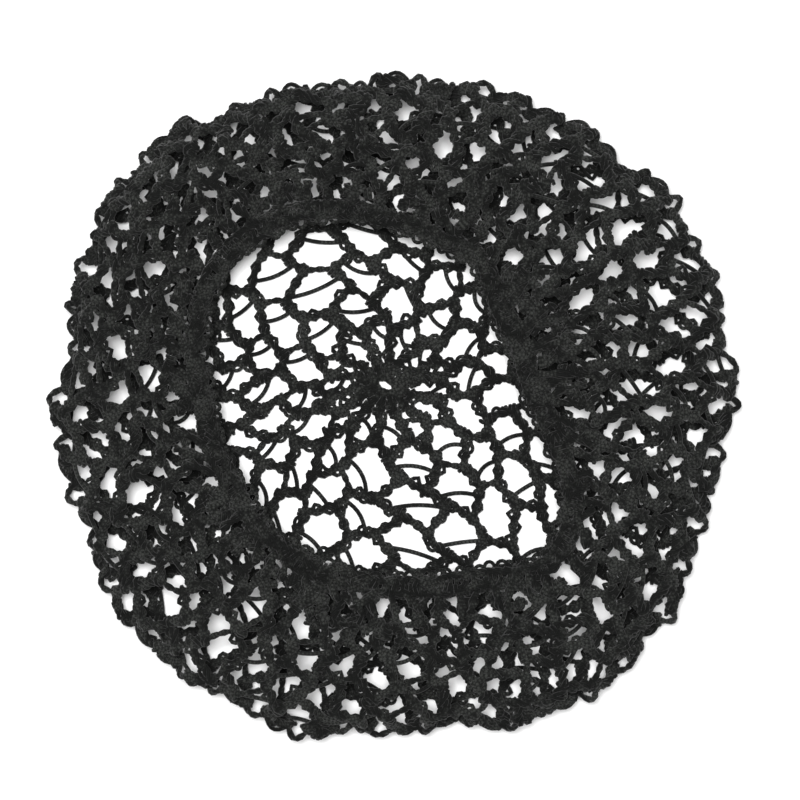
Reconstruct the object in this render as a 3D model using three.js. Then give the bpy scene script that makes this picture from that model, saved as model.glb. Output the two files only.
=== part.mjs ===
/*
 * Hair net, hand crocheted from round rayon cord, lying on its crown with its elastic mouth up.
 *
 * The net is one bag. A place on it is given by an azimuth round the bag, anticlockwise from +X
 * as one looks down, and by how far along the net it lies, in millimetres from the middle of the
 * crown, out over the floor, round the widest line, back over the crest and in to the mouth.
 * Cells stand in rounds, each round offset by half a cell from the one before, as in a honeycomb.
 * A cell is a loop of strands with a gap cut through its middle.
 *
 * Units are millimetres. +Z is up, and the origin is at the middle of the base.
 */
import * as THREE from 'three';
import { mergeVertices } from 'three/addons/utils/BufferGeometryUtils.js';

const { degToRad, euclideanModulo, lerp, smoothstep } = THREE.MathUtils;

// Driving sizes
const CROWN_MIDDLE = new THREE.Vector2(-3.4, 8.4);
const RING_REACH = 9.2;
const RING_HOLE = 2.3;
const RING_WALL = 4.4;
const RING_SIDE_SHARE = 0.6;
const RING_OUTER_SLOPE = 2.2;
const RING_INNER_SLOPE = 1.8;
const RING_STITCHES = 12;
const RING_STITCH_RELIEF = 0.5;
const STRAND_WALL = 4;
const GAP_EDGE_WALL = 2.4;
const THIN_STRAND_SHARE = 0.62;
const GAP_CORNER_ROUNDING = 1.12;
const PIECE_GAP = 0.3;
const ZIGZAG_PIECE_GAP = 0.44;
const RIM_WIDTH = 8;
const RIM_HEIGHT = 9;
const RIM_RUFFLE = 0.9;
const OCTAGON_CHAMFER = Math.tan(Math.PI / 8);
const MIDDLING_EDGE = 128;
const CROWN_ROUND_TO = 12;
const CROWN_SHAPED_FROM = 100;
const WIDEST_LINE = 132;
const MOUTH_LINE = 195;
const FOLDS_FROM = 132;
const GATHERS_FROM = 142;
const RIM_HOLDS_FROM = 178;
const RIM_LEVEL_FROM = 184;
const GATHERS = 20;
const GATHER_DEPTH = 2.8;
const EDGE_SCALLOP = 1.1;
const SCALLOPS_FROM = 108;
const FLOOR_CONTACT_ENDS = [92, 116];
const FIRST_POST_PLACE = 0.25;
const DRIFT_PER_CELL = 0.07;
const DRIFT_WAVE = 2.4;

// How finely the shapes are worked out
const RUN_PARTS = 2;
const RIM_RUN_PARTS = 4;
const SEAM_EVENING_PASSES = 4;
const STRAIGHT_BELOW = 0.15;
const PROBE_STEP = 0.02;
const PROBE_TURN = 0.002;
const MERGE_DISTANCE = 0.002;

/*
 * The outline, a row every 15 degrees of azimuth. The reaches of the outer edge and of the
 * mouth's inner edge are from the outline's middle, and the heights of the crest and of the rim
 * are those of the middle of the wall above the floor.
 */
const SECTIONS = [
  { azimuth: 0, outer: 131.1, mouth: 52.6, crest: 25, rim: 18 },
  { azimuth: 15, outer: 130.8, mouth: 48.4, crest: 25, rim: 18 },
  { azimuth: 30, outer: 132.3, mouth: 49.3, crest: 26, rim: 19 },
  { azimuth: 45, outer: 130.7, mouth: 51.4, crest: 28, rim: 20 },
  { azimuth: 60, outer: 130.9, mouth: 60.6, crest: 28, rim: 21 },
  { azimuth: 75, outer: 128.0, mouth: 62.5, crest: 29, rim: 22 },
  { azimuth: 90, outer: 126.9, mouth: 67.0, crest: 31, rim: 23 },
  { azimuth: 105, outer: 128.6, mouth: 73.5, crest: 31, rim: 24 },
  { azimuth: 120, outer: 131.2, mouth: 78.5, crest: 30, rim: 24 },
  { azimuth: 135, outer: 138.8, mouth: 81.5, crest: 31, rim: 23 },
  { azimuth: 150, outer: 134.9, mouth: 79.2, crest: 29, rim: 22 },
  { azimuth: 165, outer: 130.5, mouth: 73.9, crest: 27, rim: 20 },
  { azimuth: 180, outer: 130.3, mouth: 67.8, crest: 27, rim: 19 },
  { azimuth: 195, outer: 130.0, mouth: 66.3, crest: 26, rim: 19 },
  { azimuth: 210, outer: 129.8, mouth: 64.0, crest: 25, rim: 19 },
  { azimuth: 225, outer: 133.0, mouth: 63.6, crest: 27, rim: 20 },
  { azimuth: 240, outer: 130.3, mouth: 63.2, crest: 29, rim: 21 },
  { azimuth: 255, outer: 130.2, mouth: 62.5, crest: 29, rim: 22 },
  { azimuth: 270, outer: 124.7, mouth: 64.0, crest: 28, rim: 22 },
  { azimuth: 285, outer: 126.5, mouth: 66.7, crest: 28, rim: 21 },
  { azimuth: 300, outer: 133.0, mouth: 72.4, crest: 28, rim: 20 },
  { azimuth: 315, outer: 133.0, mouth: 78.9, crest: 26, rim: 20 },
  { azimuth: 330, outer: 129.7, mouth: 73.9, crest: 25, rim: 19 },
  { azimuth: 345, outer: 126.0, mouth: 61.7, crest: 24, rim: 18 },
];

/*
 * The net's course from the crown's middle to the mouth. Reach is shared out between the outer
 * edge and the mouth, and height between the crest and the rim. What is left over is the
 * crown's middle, on the floor.
 */
const COURSE = [
  { along: 0, outer: 0, mouth: 0, crest: 0, rim: 0 },
  { along: 40, outer: 0.3125, mouth: 0, crest: 0, rim: 0 },
  { along: 78, outer: 0.6094, mouth: 0, crest: 0, rim: 0 },
  { along: 108, outer: 0.84, mouth: 0, crest: 0.02, rim: 0 },
  { along: 124, outer: 0.965, mouth: 0, crest: 0.15, rim: 0 },
  { along: WIDEST_LINE, outer: 1, mouth: 0, crest: 0.42, rim: 0 },
  { along: 142, outer: 0.907, mouth: 0.093, crest: 0.77, rim: 0 },
  { along: 153, outer: 0.722, mouth: 0.278, crest: 0.97, rim: 0 },
  { along: 162, outer: 0.556, mouth: 0.444, crest: 1, rim: 0 },
  { along: 177, outer: 0.296, mouth: 0.704, crest: 0.7, rim: 0.3 },
  { along: 190, outer: 0.08, mouth: 0.92, crest: 0.1, rim: 0.9 },
  { along: MOUTH_LINE, outer: 0, mouth: 1, crest: 0, rim: 1 },
];

/*
 * The rounds of cells, from the starting ring to the mouth. A round ends at a zigzag seam that
 * swings to both sides of its place along the net. Strand is the width of the thick strands.
 */
const ROUNDS = [
  { piece: 'crown_net', cells: 12, ends: 29, swing: 3.2, strand: 3 },
  { piece: 'crown_net', cells: 12, ends: 48, swing: 3.8, strand: 4.2 },
  { piece: 'crown_net', cells: 16, ends: 68, swing: 4.2, strand: 5 },
  { piece: 'lower_net', cells: 20, ends: 100, swing: 6, strand: 7.6 },
  { piece: 'side_net', cells: 20, ends: WIDEST_LINE, swing: 6, strand: 9.4 },
  { piece: 'upper_net', cells: 20, ends: 164, swing: 6, strand: 9.4 },
  { piece: 'gathered_net', cells: 20, ends: MOUTH_LINE, swing: 0, strand: 7.6 },
];

/*
 * Heaps and hollows of the slack upper net, a row each. Spread is half the width round the bag,
 * in degrees, and length half the extent along the net.
 */
const FOLDS = [
  { azimuth: 22, along: 172, spread: 24, length: 12, rise: 3.5 },
  { azimuth: 72, along: 158, spread: 14, length: 13, rise: -3 },
  { azimuth: 128, along: 158, spread: 22, length: 16, rise: 4 },
  { azimuth: 196, along: 154, spread: 20, length: 16, rise: -4 },
  { azimuth: 246, along: 172, spread: 20, length: 13, rise: 3 },
  { azimuth: 284, along: 156, spread: 12, length: 12, rise: -3 },
  { azimuth: 316, along: 162, spread: 10, length: 12, rise: 2.5 },
  { azimuth: 344, along: 156, spread: 12, length: 16, rise: -4 },
];

const RAYON_CORD = { roughness: 0.62, metalness: 0 };
const CORD_BLACK = 0x141515;
const FLAT_CORD_BLACK = 0x171818;
const RIM_BLACK = 0x101111;

const UP = new THREE.Vector3(0, 0, 1);
const ringLine = RING_REACH + PIECE_GAP;
const pieceNames = [...new Set(ROUNDS.map((round) => round.piece))];

/*
 * The value of every named column between the middle two of four rows of a table, by a cubic
 * curve whose slope at a row is that from the row before it to the row after it.
 */
function blendRows(rows, spans, t, columns) {
  const [before, from, to, after] = rows;
  const [spanBefore, span, spanAfter] = spans;
  const valueOf = (column) => {
    const slopeFrom = (span * (to[column] - before[column])) / (spanBefore + span);
    const slopeTo = (span * (after[column] - from[column])) / (span + spanAfter);
    const bend = 3 * (to[column] - from[column]) - 2 * slopeFrom - slopeTo;
    const twist = slopeFrom + slopeTo - 2 * (to[column] - from[column]);
    return from[column] + slopeFrom * t + bend * t ** 2 + twist * t ** 3;
  };
  return Object.fromEntries(columns.map((column) => [column, valueOf(column)]));
}

// The outline at an azimuth, in radians
function sectionAt(azimuth) {
  const count = SECTIONS.length;
  const place = euclideanModulo((azimuth / (2 * Math.PI)) * count, count);
  const row = Math.floor(place);
  const rows = [-1, 0, 1, 2].map((step) => SECTIONS[(row + step + count) % count]);
  return blendRows(rows, [1, 1, 1], place - row, ['outer', 'mouth', 'crest', 'rim']);
}

// The shares of reach and height at a place along the net
function courseAt(along) {
  const last = COURSE.length - 1;
  let row = 0;
  while (row < last - 1 && COURSE[row + 1].along <= along) {
    row += 1;
  }
  const rows = [-1, 0, 1, 2].map((step) => COURSE[Math.min(Math.max(row + step, 0), last)]);
  const spans = [1, 2, 3].map((i) => rows[i].along - rows[i - 1].along);
  return blendRows(rows, spans, (along - rows[1].along) / spans[1], ['outer', 'mouth', 'crest', 'rim']);
}

// How far the heaps and hollows raise the net at a place
function foldRise(azimuth, along) {
  return FOLDS.reduce((rise, fold) => {
    const turn = azimuth - degToRad(fold.azimuth);
    const round = Math.sin(turn / 2) / Math.sin(degToRad(fold.spread) / 2);
    const onward = (along - fold.along) / fold.length;
    return rise + fold.rise * Math.exp(-(round ** 2) - onward ** 2);
  }, 0);
}

// The middle of the net's wall
function netPoint(azimuth, along) {
  const section = sectionAt(azimuth);
  const share = courseAt(along);
  const scallop = EDGE_SCALLOP * (Math.cos(GATHERS * azimuth) - 1);
  const scalloped = smoothstep(along, SCALLOPS_FROM, WIDEST_LINE);
  const edge = section.outer - STRAND_WALL / 2 + scallop * scalloped;
  const outer = lerp(MIDDLING_EDGE, edge, smoothstep(along, CROWN_ROUND_TO, CROWN_SHAPED_FROM));
  const mouth = section.mouth + RIM_WIDTH + PIECE_GAP;
  const reach = share.outer * outer + share.mouth * mouth;
  const onFloor = 1 - share.crest - share.rim;
  const height = (onFloor * STRAND_WALL) / 2 + share.crest * section.crest + share.rim * section.rim;
  const heldByRim = 1 - smoothstep(along, RIM_HOLDS_FROM, MOUTH_LINE);
  const drawnIn = smoothstep(along, GATHERS_FROM, RIM_HOLDS_FROM) * heldByRim;
  const gather = GATHER_DEPTH * drawnIn * Math.cos(GATHERS * azimuth);
  const fold = foldRise(azimuth, along) * heldByRim * smoothstep(along, FOLDS_FROM, GATHERS_FROM);
  const offCentre = 1 - smoothstep(along, CROWN_ROUND_TO, WIDEST_LINE);
  return new THREE.Vector3(
    CROWN_MIDDLE.x * offCentre + reach * Math.cos(azimuth),
    CROWN_MIDDLE.y * offCentre + reach * Math.sin(azimuth),
    height + gather + fold,
  );
}

// Unit vectors on the net: on towards the mouth, and out of the bag, which at the rim is up
function netDirections(azimuth, along) {
  const before = netPoint(azimuth, along - PROBE_STEP);
  const onward = netPoint(azimuth, along + PROBE_STEP).sub(before).normalize();
  const beside = netPoint(azimuth - PROBE_TURN, along);
  const round = netPoint(azimuth + PROBE_TURN, along).sub(beside);
  const outward = round.cross(onward).normalize();
  outward.lerp(UP, smoothstep(along, RIM_LEVEL_FROM, MOUTH_LINE)).normalize();
  return { onward, outward };
}

/*
 * The two faces of the wall at one place. Where the net lies on the floor, its outer face is
 * flat, and elsewhere both faces draw together from a strand's middle to the edge of a gap.
 */
function wallFaces({ azimuth, along, shift = 0, atGap = false }) {
  const { onward, outward } = netDirections(azimuth, along);
  const middle = netPoint(azimuth, along).addScaledVector(onward, shift);
  const flat = 1 - smoothstep(along, ...FLOOR_CONTACT_ENDS);
  const half = (atGap ? GAP_EDGE_WALL : STRAND_WALL) / 2;
  const outside = middle.clone().addScaledVector(outward, lerp(half, STRAND_WALL / 2, flat));
  const inside = middle.clone().addScaledVector(outward, -half);
  outside.z = Math.max(outside.z, 0);
  return { outside, inside };
}

/*
 * The knots of the seam after a round: the heads of the posts below it and the feet of those
 * above, in order of azimuth. They are spaced out by averaging each with its neighbours.
 */
function makeSeam(seam) {
  const below = ROUNDS[seam - 1];
  const above = ROUNDS[seam];
  const place = below ? below.ends : ringLine;
  const swing = below && above ? below.swing : 0;
  const knots = [];
  const addPosts = (kind, round, along) => {
    const { cells } = ROUNDS[round];
    const halfCellOn = (round % 2) / 2;
    for (let post = 0; post < cells; post += 1) {
      const turn = (post + halfCellOn + FIRST_POST_PLACE) / cells;
      knots.push({ kind, post, along, azimuth: turn * 2 * Math.PI });
    }
  };
  if (below) {
    addPosts('head', seam - 1, place - swing);
  }
  if (above) {
    addPosts('foot', seam, place + swing);
  }
  knots.sort((a, b) => a.azimuth - b.azimuth);
  const count = knots.length;
  for (let pass = 0; pass < SEAM_EVENING_PASSES; pass += 1) {
    const azimuths = knots.map((knot) => knot.azimuth);
    knots.forEach((knot, i) => {
      const before = azimuths[(i + count - 1) % count] - (i === 0 ? 2 * Math.PI : 0);
      const after = azimuths[(i + 1) % count] + (i === count - 1 ? 2 * Math.PI : 0);
      knot.azimuth = azimuths[i] / 2 + (before + after) / 4;
    });
  }
  if (below && above) {
    const drift = (DRIFT_PER_CELL * 2 * Math.PI) / below.cells;
    knots.forEach((knot, i) => {
      knot.azimuth += drift * Math.sin(DRIFT_WAVE * i + seam);
    });
  }
  return knots;
}

const seams = [...ROUNDS.keys(), ROUNDS.length].map(makeSeam);

// The knots of a seam from one post to the next one round, with azimuths that only grow
function seamStretch(seam, kind, post, cells) {
  const knots = seams[seam];
  const start = knots.findIndex((knot) => knot.kind === kind && knot.post === post);
  const next = (post + 1) % cells;
  const stretch = [];
  for (let i = start; ; i += 1) {
    const knot = knots[i % knots.length];
    const turns = Math.floor(i / knots.length);
    stretch.push({ ...knot, azimuth: knot.azimuth + turns * 2 * Math.PI });
    if (stretch.length > 1 && knot.kind === kind && knot.post === next) {
      return stretch;
    }
  }
}

// Places spaced along the straight run from one knot to the next, without the last
function splitRun(from, to, parts, marks) {
  return Array.from({ length: parts }, (_, part) => ({
    azimuth: lerp(from.azimuth, to.azimuth, part / parts),
    along: lerp(from.along, to.along, part / parts),
    ...marks,
  }));
}

// The loop of strand middles round one cell, each place with the width of the strand after it
function cellLoop(round, cell) {
  const { cells, strand, piece } = ROUNDS[round];
  const bottom = seamStretch(round, 'foot', cell, cells);
  const top = seamStretch(round + 1, 'head', cell, cells);
  const lag = Math.round((top[0].azimuth - bottom[0].azimuth) / (2 * Math.PI)) * 2 * Math.PI;
  top.forEach((knot) => {
    knot.azimuth -= lag;
  });
  const isFirst = round === 0;
  const isLast = round === ROUNDS.length - 1;
  const opensBelow = isFirst || ROUNDS[round - 1].piece !== piece;
  const opensAbove = isLast || ROUNDS[round + 1].piece !== piece;
  const thin = strand * THIN_STRAND_SHARE;
  const loop = [];
  for (let i = 0; i < bottom.length - 1; i += 1) {
    const width = bottom[i].kind === 'head' ? strand : thin;
    const shift = opensBelow && !isFirst ? ZIGZAG_PIECE_GAP / 2 : 0;
    loop.push(...splitRun(bottom[i], bottom[i + 1], RUN_PARTS, { width, shift, open: opensBelow }));
  }
  const lastFoot = bottom[bottom.length - 1];
  const lastHead = top[top.length - 1];
  const post = { width: strand, shift: 0, open: false };
  loop.push(...splitRun(lastFoot, lastHead, RUN_PARTS, post));
  for (let i = top.length - 1; i > 0; i -= 1) {
    const width = top[i].kind === 'foot' ? strand : thin;
    const shift = opensAbove && !isLast ? -ZIGZAG_PIECE_GAP / 2 : 0;
    const parts = isLast ? RIM_RUN_PARTS : RUN_PARTS;
    loop.push(...splitRun(top[i], top[i - 1], parts, { width, shift, open: opensAbove }));
  }
  loop.push(...splitRun(top[0], bottom[0], RUN_PARTS, post));
  // A post's end on an open seam moves with that seam
  return loop.map((place, i) => {
    const previous = loop[(i + loop.length - 1) % loop.length];
    return { ...place, shift: place.shift || (previous.open ? previous.shift : 0) };
  });
}

/*
 * The edge of a cell's gap: the loop drawn in by half a strand's width. The cell is laid flat,
 * each corner moves to where the drawn-in sides on both sides of it meet, and a little further,
 * so that the gap is rounded.
 */
function gapLoop(loop) {
  const count = loop.length;
  const middleAlong = loop.reduce((sum, place) => sum + place.along, 0) / count;
  const middleAzimuth = loop.reduce((sum, place) => sum + place.azimuth, 0) / count;
  const reachAt = (along) => {
    const { x, y } = netPoint(middleAzimuth, along);
    const offCentre = 1 - smoothstep(along, CROWN_ROUND_TO, WIDEST_LINE);
    return Math.hypot(x - CROWN_MIDDLE.x * offCentre, y - CROWN_MIDDLE.y * offCentre);
  };
  const scales = loop.map((place) => (reachAt(place.along) + reachAt(middleAlong)) / 2);
  const flat = loop.map((place, i) => (
    new THREE.Vector2((place.azimuth - middleAzimuth) * scales[i], place.along)
  ));
  const inwardOf = (i) => {
    const side = flat[(i + 1) % count].clone().sub(flat[i]).normalize();
    return new THREE.Vector2(-side.y, side.x);
  };
  return loop.map((place, i) => {
    const before = (i + count - 1) % count;
    const a = inwardOf(before);
    const b = inwardOf(i);
    const halfA = loop[before].width / 2;
    const halfB = place.width / 2;
    const cross = a.x * b.y - a.y * b.x;
    const move = new THREE.Vector2();
    if (Math.abs(cross) < STRAIGHT_BELOW) {
      move.copy(a).add(b).normalize().multiplyScalar((halfA + halfB) / 2);
    } else {
      move.set((halfA * b.y - halfB * a.y) / cross, (halfB * a.x - halfA * b.x) / cross);
      move.multiplyScalar(GAP_CORNER_ROUNDING);
    }
    const target = flat[i].clone().add(move);
    return { azimuth: middleAzimuth + target.x / scales[i], along: target.y, atGap: true };
  });
}

// A closed body from triangles of points, with shared corners merged
function bodyFromTriangles(triangles) {
  const geometry = new THREE.BufferGeometry();
  const positions = triangles.flatMap((point) => point.toArray());
  geometry.setAttribute('position', new THREE.Float32BufferAttribute(positions, 3));
  const merged = mergeVertices(geometry, MERGE_DISTANCE);
  merged.computeVertexNormals();
  return merged;
}

// Two triangles for each of a strip's quads
function addQuad(triangles, a, b, c, d) {
  triangles.push(a, b, c, a, c, d);
}

// The face cut across a strand at a seam, split the same way on both sides of the seam
function addCutFace(triangles, from, to, forwards) {
  if (forwards) {
    addQuad(triangles, from.inside, to.inside, to.outside, from.outside);
  } else {
    addQuad(triangles, from.outside, from.inside, to.inside, to.outside);
  }
}

// One piece of the net: every cell of its rounds, as a ring of wall round a gap
function netPiece(name) {
  const triangles = [];
  ROUNDS.forEach((round, number) => {
    if (round.piece !== name) {
      return;
    }
    for (let cell = 0; cell < round.cells; cell += 1) {
      const loop = cellLoop(number, cell);
      const strands = loop.map(wallFaces);
      const gap = gapLoop(loop).map(wallFaces);
      loop.forEach((place, i) => {
        const j = (i + 1) % loop.length;
        addQuad(triangles, strands[i].outside, strands[j].outside, gap[j].outside, gap[i].outside);
        addQuad(triangles, gap[i].inside, gap[j].inside, strands[j].inside, strands[i].inside);
        addQuad(triangles, gap[i].outside, gap[j].outside, gap[j].inside, gap[i].inside);
        if (place.open) {
          addCutFace(triangles, strands[i], strands[j], place.azimuth < loop[j].azimuth);
        }
      });
    }
  });
  return bodyFromTriangles(triangles);
}

/*
 * A closed ring of sections, each a loop of points in the same order: out along its underside,
 * up, and back over its top.
 */
function ringBody(sections) {
  const triangles = [];
  sections.forEach((section, i) => {
    const next = sections[(i + 1) % sections.length];
    section.forEach((point, k) => {
      const l = (k + 1) % section.length;
      addQuad(triangles, section[k], next[k], next[l], section[l]);
    });
  });
  return bodyFromTriangles(triangles);
}

// The azimuths at which a piece of net meets its neighbour along a plain seam
function seamAzimuths(seam, parts) {
  const knots = seams[seam];
  return knots.flatMap((knot, i) => {
    const isLast = i === knots.length - 1;
    const next = knots[(i + 1) % knots.length].azimuth + (isLast ? 2 * Math.PI : 0);
    return splitRun(knot, { azimuth: next, along: 0 }, parts, {}).map((place) => place.azimuth);
  });
}

// The starting ring: flat below, domed above, its stitches radiating from a tiny hole
function crownRing() {
  const azimuths = seamAzimuths(0, RUN_PARTS);
  const sections = azimuths.map((azimuth) => {
    const stitch = RING_STITCH_RELIEF * Math.cos(RING_STITCHES * (azimuth - azimuths[0]));
    const profile = [
      [RING_HOLE, 0],
      [RING_REACH, 0],
      [RING_REACH, RING_WALL * RING_SIDE_SHARE],
      [RING_REACH - RING_OUTER_SLOPE, RING_WALL + stitch],
      [RING_HOLE + RING_INNER_SLOPE, RING_WALL + stitch / 2],
      [RING_HOLE, RING_WALL * RING_SIDE_SHARE],
    ];
    return profile.map(([reach, height]) => new THREE.Vector3(
      CROWN_MIDDLE.x + reach * Math.cos(azimuth),
      CROWN_MIDDLE.y + reach * Math.sin(azimuth),
      height,
    ));
  });
  return ringBody(sections);
}

// The rim: an eight-sided band round the mouth, ruffled all over but for its side to the net
function rimBand() {
  const chamfer = OCTAGON_CHAMFER;
  const sections = seamAzimuths(ROUNDS.length, RIM_RUN_PARTS).map((azimuth, i) => {
    const { mouth, rim } = sectionAt(azimuth);
    const ruffle = i % 2 === 0 ? RIM_RUFFLE : 0;
    const outer = RIM_WIDTH / 2;
    const inner = outer - ruffle;
    const tall = RIM_HEIGHT / 2 - ruffle / 2;
    const profile = [
      [outer, -chamfer * RIM_HEIGHT / 2],
      [outer, chamfer * RIM_HEIGHT / 2],
      [outer * chamfer, tall],
      [-inner * chamfer, tall],
      [-inner, chamfer * tall],
      [-inner, -chamfer * tall],
      [-inner * chamfer, -tall],
      [outer * chamfer, -tall],
    ];
    return profile.map(([reach, height]) => new THREE.Vector3(
      (mouth + RIM_WIDTH / 2 + reach) * Math.cos(azimuth),
      (mouth + RIM_WIDTH / 2 + reach) * Math.sin(azimuth),
      rim + height,
    ));
  });
  return ringBody(sections);
}

// A named piece in black rayon cord
function piece(name, geometry, color) {
  const mesh = new THREE.Mesh(geometry, new THREE.MeshStandardMaterial({ color, ...RAYON_CORD }));
  mesh.name = name;
  return mesh;
}

const group = new THREE.Group();
group.add(piece('crown_ring', crownRing(), CORD_BLACK));
pieceNames.forEach((name) => {
  group.add(piece(name, netPiece(name), name === 'crown_net' ? FLAT_CORD_BLACK : CORD_BLACK));
});
group.add(piece('rim_band', rimBand(), RIM_BLACK));

// The middle of the base becomes the origin
const base = new THREE.Box3().setFromObject(group);
const middle = base.getCenter(new THREE.Vector3());
group.position.set(-middle.x, -middle.y, -base.min.z);

export default group;
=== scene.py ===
"""Hair net crocheted from black rayon cord, lying on its crown with its elastic mouth up.

The CAD solids have the net's form as walls with coarse gaps. This script puts the cord itself in
their place: roped arms, thin links, single bars, coils, knots and small loops, laid out cell by
cell on the same surface, round after round from the starting ring to the rim. The net's lengths
are in millimetres until a mesh is written. Azimuths run anticlockwise from +X, in degrees in the
tables and in radians elsewhere.
"""

import logging
import math
from dataclasses import dataclass, field, fields, replace
from enum import Enum

import bpy
import numpy as np
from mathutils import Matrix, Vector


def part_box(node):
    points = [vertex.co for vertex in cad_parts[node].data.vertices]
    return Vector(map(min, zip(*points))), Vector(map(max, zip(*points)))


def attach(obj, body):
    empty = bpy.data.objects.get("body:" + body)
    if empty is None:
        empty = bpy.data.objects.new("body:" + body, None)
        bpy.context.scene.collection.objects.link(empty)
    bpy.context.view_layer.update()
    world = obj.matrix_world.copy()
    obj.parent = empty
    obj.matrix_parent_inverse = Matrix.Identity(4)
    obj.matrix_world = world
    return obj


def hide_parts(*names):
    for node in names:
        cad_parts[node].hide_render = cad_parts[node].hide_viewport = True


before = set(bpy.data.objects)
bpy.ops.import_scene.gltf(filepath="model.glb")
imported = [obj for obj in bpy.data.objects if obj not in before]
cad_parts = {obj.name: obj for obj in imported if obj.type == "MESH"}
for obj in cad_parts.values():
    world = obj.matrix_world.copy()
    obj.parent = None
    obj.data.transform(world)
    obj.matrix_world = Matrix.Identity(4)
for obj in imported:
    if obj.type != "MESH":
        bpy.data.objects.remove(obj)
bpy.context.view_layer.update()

Array = np.ndarray

MM = 0.001
FULL_TURN = 2 * math.pi
UP = np.array([0.0, 0.0, 1.0])
CORD_UV = "CordLength"
RING_FROM_OUTLINE = (-3.4, 8.4)
# Scale, in features a metre, and detail of the fine and the slow noise in the dye
MOTTLE_NOISES = ((330.0, 2.0), (120.0, 1.0))
MOTTLE_GAIN = 4.6
ROW_SIZES = ("outer", "mouth", "crest", "rim")
log = logging.getLogger("hair_net")


def table(columns: tuple[str, ...], rows: list[tuple[float, ...]]) -> Array:
    """Rows of numbers under named columns."""
    return np.array(rows, dtype=[(name, float) for name in columns])


# The outline, a row every 15 degrees: reach of the outer edge and of the mouth, heights of the
# crest and of the rim
SECTIONS = table(
    ("azimuth", *ROW_SIZES),
    [
        (0, 131.1, 52.6, 25, 18),
        (15, 132.2, 48.4, 25, 18),
        (30, 133.5, 49.3, 26, 19),
        (45, 132.2, 51.4, 28, 20),
        (60, 129.5, 60.6, 28, 21),
        (75, 126.6, 62.5, 29, 22),
        (90, 125.1, 67.0, 31, 23),
        (105, 128.6, 73.5, 31, 24),
        (120, 132.4, 78.5, 30, 24),
        (135, 137.6, 81.5, 31, 23),
        (150, 133.9, 79.2, 29, 22),
        (165, 128.3, 73.9, 27, 20),
        (180, 130.3, 67.8, 27, 19),
        (195, 130.0, 66.3, 26, 19),
        (210, 129.8, 64.0, 25, 19),
        (225, 133.0, 64.6, 27, 20),
        (240, 130.3, 64.4, 29, 21),
        (255, 128.9, 63.3, 29, 22),
        (270, 125.8, 64.0, 28, 22),
        (285, 127.8, 66.0, 28, 21),
        (300, 133.8, 70.8, 28, 20),
        (315, 133.0, 78.9, 26, 20),
        (330, 129.7, 73.9, 25, 19),
        (345, 126.0, 61.7, 24, 18),
    ],
)

# The net's course from the crown's middle to the mouth, as shares of those reaches and heights
COURSE = table(
    ("along", *ROW_SIZES),
    [
        (0, 0, 0, 0, 0),
        (40, 0.3125, 0, 0, 0),
        (78, 0.6094, 0, 0, 0),
        (108, 0.84, 0, 0.02, 0),
        (124, 0.965, 0, 0.15, 0),
        (132, 1, 0, 0.42, 0),
        (142, 0.907, 0.093, 0.77, 0),
        (153, 0.722, 0.278, 0.97, 0),
        (162, 0.556, 0.444, 1, 0),
        (177, 0.296, 0.704, 0.7, 0.3),
        (190, 0.08, 0.92, 0.1, 0.9),
        (195, 0, 1, 0, 1),
    ],
)

# Heaps and hollows of the slack upper net: place, half extents in degrees and millimetres, rise
FOLDS = table(
    ("azimuth", "along", "spread", "length", "rise"),
    [
        (22, 172, 24, 12, 3.5),
        (72, 158, 14, 13, -3),
        (128, 158, 22, 16, 4),
        (196, 154, 20, 16, -4),
        (246, 172, 20, 13, 3),
        (284, 156, 12, 12, -3),
        (316, 162, 10, 12, 2.5),
        (344, 156, 12, 16, -4),
    ],
)

# By azimuth, and against the usual: how closely the cells stand in the crown and in the rest of
# the net, and how wide the rim is
CROWDING = table(
    ("azimuth", "crown", "net", "rim"),
    [
        (0, 1.26, 1.02, 1.12),
        (30, 1.12, 0.98, 1.12),
        (60, 0.92, 1.1, 0.84),
        (90, 0.94, 1.14, 0.8),
        (120, 0.64, 1.14, 0.92),
        (150, 0.82, 1.08, 0.9),
        (180, 1.5, 0.8, 0.98),
        (210, 1.24, 0.9, 1.04),
        (240, 1.06, 1.0, 1.04),
        (270, 0.62, 1.0, 0.98),
        (300, 0.86, 0.98, 1.1),
        (330, 1.06, 0.96, 0.98),
        (360, 1.26, 1.02, 1.12),
    ],
)

# Patches of matted knots near the mouth: place, half extents in degrees and millimetres, knots
MATTED = table(
    ("azimuth", "along", "spread", "length", "knots"),
    [
        (12, 187, 21, 4.5, 38),
        (36, 188, 18, 4.5, 34),
        (75, 188.5, 13, 2.5, 14),
        (108, 190, 12, 2.5, 8),
        (134, 188, 20, 3, 34),
        (165, 190, 14, 3, 20),
        (196, 190, 18, 3.5, 20),
        (228, 190, 24, 4, 38),
        (258, 181, 11, 3, 12),
        (307, 187, 13, 3, 16),
    ],
)


def smoothstep(value: Array, low: float, high: float) -> Array:
    """A smooth rise from 0 at low to 1 at high: 3s^2 - 2s^3, where s is the share of the way."""
    share = np.clip((value - low) / (high - low), 0.0, 1.0)
    return share * share * (3 - 2 * share)


def unit(vectors: Array) -> Array:
    """The same directions with a length of 1."""
    return vectors / np.maximum(np.linalg.norm(vectors, axis=-1, keepdims=True), 1e-9)


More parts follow.
